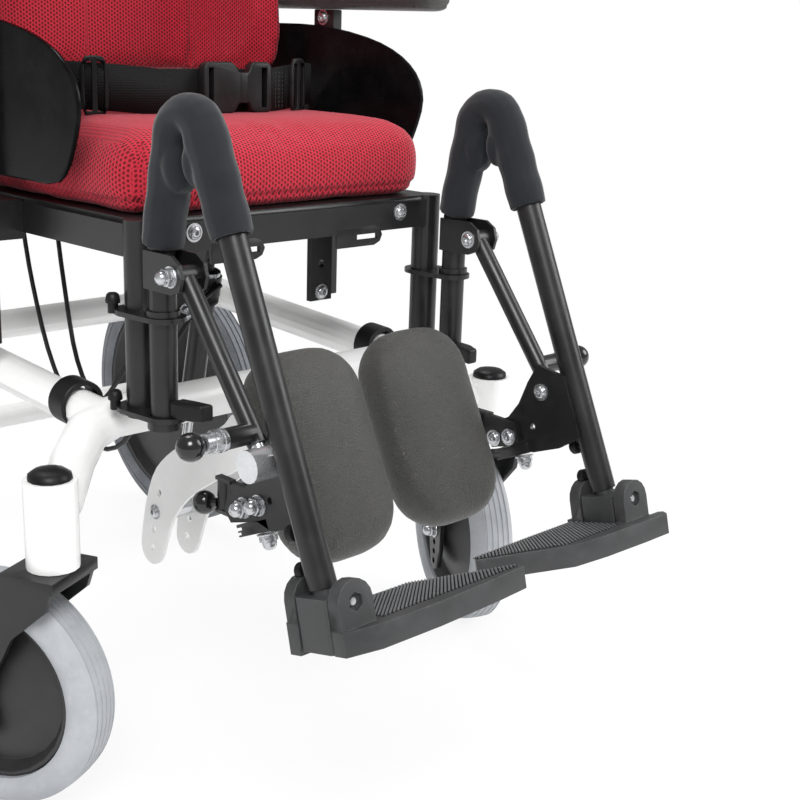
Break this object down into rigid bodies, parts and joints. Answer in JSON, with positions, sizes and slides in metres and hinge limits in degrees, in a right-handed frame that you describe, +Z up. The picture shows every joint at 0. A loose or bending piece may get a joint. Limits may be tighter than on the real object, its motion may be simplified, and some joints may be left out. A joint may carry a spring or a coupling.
{
  "type": "positioning chair",
  "caption": "Wheeled positioning chair for a child with tilting seat, reclining back, swing-away elevating leg rests, calf pads and flip-up footplates.",
  "frame": {"origin": "centre of the bounding box's bottom face, on the floor", "axes": "+Z up, -Y the way the chair faces, +X the occupant's left"},
  "size_m": [0.6678, 0.9308, 1.19],
  "materials": {
    "white_paint": "semi-gloss powder coat",
    "black_paint": "satin powder coat",
    "chrome": "bright plated",
    "black_plastic": "fine grain",
    "grip_rubber": "matte",
    "grey_plastic": "ribbed",
    "caster_tyre": "light grey, matte",
    "rear_tyre": "grey, ridged",
    "red_mesh": "spacer mesh",
    "leatherette": "fine grain",
    "grey_foam": "soft closed-cell foam",
    "webbing": "woven webbing"
  },
  "bodies": {
    "base": {"base_frame": "white_paint", "barrel_cap_left": "black_plastic", "barrel_cap_right": "black_plastic", "front_brackets": "white_paint"},
    "seat": {"seat_frame": "black_paint", "seat_cushion": "red_mesh", "pelvic_belt": "webbing", "belt_buckle": "black_plastic", "tilt_cable": "black_plastic", "recline_cable": "black_plastic"},
    "back": {"back_frame": "black_paint", "back_cushion": "red_mesh", "handle_grip_left": "grip_rubber", "handle_grip_right": "grip_rubber"},
    "head": {"head_bar": "black_paint", "head_pad": "red_mesh"},
    "tilt_cylinder": {"tilt_gas_cylinder": "black_paint"},
    "tilt_rod": {"tilt_gas_rod": "chrome"},
    "recline_cylinder": {"recline_gas_cylinder": "black_paint"},
    "recline_rod": {"recline_gas_rod": "chrome"},
    "caster_left": {"caster_fork_left": "black_paint"},
    "caster_wheel_left": {"caster_rim_left": "black_plastic", "caster_tyre_left": "caster_tyre"},
    "rear_wheel_left": {"rear_rim_left": "black_plastic", "rear_tyre_left": "rear_tyre"},
    "arm_left": {"arm_post_left": "black_paint", "side_panel_left": "black_plastic", "arm_pad_left": "leatherette"},
    "lever_left": {"release_lever_left": "black_plastic"},
    "hanger_left": {"hanger_left": "black_paint", "knee_foam_left": "grey_foam"},
    "catch_left": {"catch_left": "black_plastic"},
    "leg_left": {"leg_tube_left": "black_paint"},
    "strut_left": {"strut_tube_left": "black_paint"},
    "strut_rod_left": {"strut_rod_left": "chrome"},
    "knob_left": {"lock_knob_left": "black_plastic"},
    "calf_left": {"calf_arm_left": "black_paint", "calf_pad_left": "leatherette"},
    "foot_left": {"foot_block_left": "black_plastic"},
    "plate_left": {"footplate_left": "grey_plastic"},
    "caster_right": {"caster_fork_right": "black_paint"},
    "caster_wheel_right": {"caster_rim_right": "black_plastic", "caster_tyre_right": "caster_tyre"},
    "rear_wheel_right": {"rear_rim_right": "black_plastic", "rear_tyre_right": "rear_tyre"},
    "arm_right": {"arm_post_right": "black_paint", "side_panel_right": "black_plastic", "arm_pad_right": "leatherette"},
    "lever_right": {"release_lever_right": "black_plastic"},
    "hanger_right": {"hanger_right": "black_paint", "knee_foam_right": "grey_foam"},
    "catch_right": {"catch_right": "black_plastic"},
    "leg_right": {"leg_tube_right": "black_paint"},
    "strut_right": {"strut_tube_right": "black_paint"},
    "strut_rod_right": {"strut_rod_right": "chrome"},
    "knob_right": {"lock_knob_right": "black_plastic"},
    "calf_right": {"calf_arm_right": "black_paint", "calf_pad_right": "leatherette"},
    "foot_right": {"foot_block_right": "black_plastic"},
    "plate_right": {"footplate_right": "grey_plastic"}
  },
  "joints": [
    {"name": "tilt", "type": "hinge", "parent": "base", "child": "seat", "pos_m": [0, 0.1424, 0.415], "axis": [-1, 0, 0], "range_deg": [0, 18]},
    {"name": "tilt_cylinder_turn", "type": "hinge", "parent": "seat", "child": "tilt_cylinder", "pos_m": [0, -0.0586, 0.42], "axis": [-1, 0, 0], "range_deg": [-15.77, 0]},
    {"name": "tilt_rod_stroke", "type": "slide", "parent": "tilt_cylinder", "child": "tilt_rod", "axis": [0, 0.2085, -0.978], "range_m": [0, 0.06356]},
    {"name": "recline", "type": "hinge", "parent": "seat", "child": "back", "pos_m": [0, 0.1974, 0.461], "axis": [-1, 0, 0], "range_deg": [0, 30]},
    {"name": "recline_cylinder_turn", "type": "hinge", "parent": "seat", "child": "recline_cylinder", "pos_m": [0.062, -0.0126, 0.424], "axis": [-1, 0, 0], "range_deg": [0, 5.52]},
    {"name": "recline_rod_stroke", "type": "slide", "parent": "recline_cylinder", "child": "recline_rod", "axis": [0, 0.9988, -0.0485], "range_m": [-0.03231, 0]},
    {"name": "head_height", "type": "slide", "parent": "back", "child": "head", "axis": [0, 0, 1], "range_m": [0, 0.1]},
    {"name": "caster_swivel_left", "type": "hinge", "parent": "base", "child": "caster_left", "pos_m": [0.255, -0.1926, 0.214], "axis": [0, 0, 1], "continuous": true},
    {"name": "caster_spin_left", "type": "hinge", "parent": "caster_left", "child": "caster_wheel_left", "pos_m": [0.27824, -0.14275, 0.1], "axis": [0.9063, -0.4226, 0], "continuous": true},
    {"name": "rear_spin_left", "type": "hinge", "parent": "base", "child": "rear_wheel_left", "pos_m": [0.222, 0.3054, 0.16], "axis": [1, 0, 0], "continuous": true},
    {"name": "arm_height_left", "type": "slide", "parent": "seat", "child": "arm_left", "axis": [0, 0, 1], "range_m": [0, 0.08]},
    {"name": "lever_squeeze_left", "type": "hinge", "parent": "back", "child": "lever_left", "pos_m": [0.14, 0.2744, 1.01], "axis": [1, 0, 0], "range_deg": [0, 9], "stiffness_Nm_per_rad": 0.5, "springref_deg": -11.46},
    {"name": "swing_away_left", "type": "hinge", "parent": "seat", "child": "hanger_left", "pos_m": [0.1655, -0.2176, 0.323], "axis": [0, 0, 1], "range_deg": [0, 70]},
    {"name": "catch_turn_left", "type": "hinge", "parent": "hanger_left", "child": "catch_left", "pos_m": [0.1615, -0.2356, 0.3345], "axis": [0, 0, -1], "range_deg": [0, 12], "stiffness_Nm_per_rad": 0.1, "springref_deg": -8.59},
    {"name": "knee_left", "type": "hinge", "parent": "hanger_left", "child": "leg_left", "pos_m": [0.1655, -0.27835, 0.54169], "axis": [-1, 0, 0], "range_deg": [0, 30], "deforming": ["knee_foam_left"]},
    {"name": "strut_turn_left", "type": "hinge", "parent": "hanger_left", "child": "strut_left", "pos_m": [0.1655, -0.247, 0.4433], "axis": [-1, 0, 0], "range_deg": [0, 37.32]},
    {"name": "strut_stroke_left", "type": "slide", "parent": "strut_left", "child": "strut_rod_left", "axis": [0, -0.6136, -0.7896], "range_m": [0, 0.05292]},
    {"name": "knob_pull_left", "type": "slide", "parent": "strut_left", "child": "knob_left", "axis": [1, 0, 0], "range_m": [0, 0.006], "stiffness_N_per_m": 400, "springref_m": -0.003},
    {"name": "calf_swing_left", "type": "hinge", "parent": "leg_left", "child": "calf_left", "pos_m": [0.1485, -0.2736, 0.272], "axis": [0, 0, 1], "range_deg": [-18, 12]},
    {"name": "foot_height_left", "type": "slide", "parent": "leg_left", "child": "foot_left", "axis": [0, -0.4003, -0.9164], "range_m": [0, 0.08]},
    {"name": "plate_flip_left", "type": "hinge", "parent": "foot_left", "child": "plate_left", "pos_m": [0.1655, -0.41452, 0.23541], "axis": [0, 0.9703, -0.2419], "range_deg": [0, 85]},
    {"name": "caster_swivel_right", "type": "hinge", "parent": "base", "child": "caster_right", "pos_m": [-0.255, -0.1926, 0.214], "axis": [0, 0, 1], "continuous": true},
    {"name": "caster_spin_right", "type": "hinge", "parent": "caster_right", "child": "caster_wheel_right", "pos_m": [-0.27824, -0.14275, 0.1], "axis": [0.9063, 0.4226, 0], "continuous": true},
    {"name": "rear_spin_right", "type": "hinge", "parent": "base", "child": "rear_wheel_right", "pos_m": [-0.222, 0.3054, 0.16], "axis": [1, 0, 0], "continuous": true},
    {"name": "arm_height_right", "type": "slide", "parent": "seat", "child": "arm_right", "axis": [0, 0, 1], "range_m": [0, 0.08]},
    {"name": "lever_squeeze_right", "type": "hinge", "parent": "back", "child": "lever_right", "pos_m": [-0.14, 0.2744, 1.01], "axis": [1, 0, 0], "range_deg": [0, 9], "stiffness_Nm_per_rad": 0.5, "springref_deg": -11.46},
    {"name": "swing_away_right", "type": "hinge", "parent": "seat", "child": "hanger_right", "pos_m": [-0.1655, -0.2176, 0.323], "axis": [0, 0, -1], "range_deg": [0, 70]},
    {"name": "catch_turn_right", "type": "hinge", "parent": "hanger_right", "child": "catch_right", "pos_m": [-0.1615, -0.2356, 0.3345], "axis": [0, 0, 1], "range_deg": [0, 12], "stiffness_Nm_per_rad": 0.1, "springref_deg": -8.59},
    {"name": "knee_right", "type": "hinge", "parent": "hanger_right", "child": "leg_right", "pos_m": [-0.1655, -0.27835, 0.54169], "axis": [-1, 0, 0], "range_deg": [0, 30], "deforming": ["knee_foam_right"]},
    {"name": "strut_turn_right", "type": "hinge", "parent": "hanger_right", "child": "strut_right", "pos_m": [-0.1655, -0.247, 0.4433], "axis": [-1, 0, 0], "range_deg": [0, 37.32]},
    {"name": "strut_stroke_right", "type": "slide", "parent": "strut_right", "child": "strut_rod_right", "axis": [0, -0.6136, -0.7896], "range_m": [0, 0.05292]},
    {"name": "knob_pull_right", "type": "slide", "parent": "strut_right", "child": "knob_right", "axis": [-1, 0, 0], "range_m": [0, 0.006], "stiffness_N_per_m": 400, "springref_m": -0.003},
    {"name": "calf_swing_right", "type": "hinge", "parent": "leg_right", "child": "calf_right", "pos_m": [-0.1485, -0.2736, 0.272], "axis": [0, 0, -1], "range_deg": [-18, 12]},
    {"name": "foot_height_right", "type": "slide", "parent": "leg_right", "child": "foot_right", "axis": [0, -0.4003, -0.9164], "range_m": [0, 0.08]},
    {"name": "plate_flip_right", "type": "hinge", "parent": "foot_right", "child": "plate_right", "pos_m": [-0.1655, -0.41452, 0.23541], "axis": [0, -0.9703, 0.2419], "range_deg": [0, 85]}
  ],
  "couplings": [
    {"joint": "tilt_cylinder_turn", "follows": "tilt", "ratio": -0.78075},
    {"joint": "tilt_rod_stroke", "follows": "tilt", "m_per_rad": 0.18959},
    {"joint": "recline_cylinder_turn", "follows": "recline", "ratio": 0.12668},
    {"joint": "recline_rod_stroke", "follows": "recline", "m_per_rad": -0.054077},
    {"joint": "strut_turn_left", "follows": "knee_left", "ratio": 1.1868},
    {"joint": "strut_stroke_left", "follows": "knee_left", "m_per_rad": 0.093427},
    {"joint": "strut_turn_right", "follows": "knee_right", "ratio": 1.1868},
    {"joint": "strut_stroke_right", "follows": "knee_right", "m_per_rad": 0.093427}
  ]
}
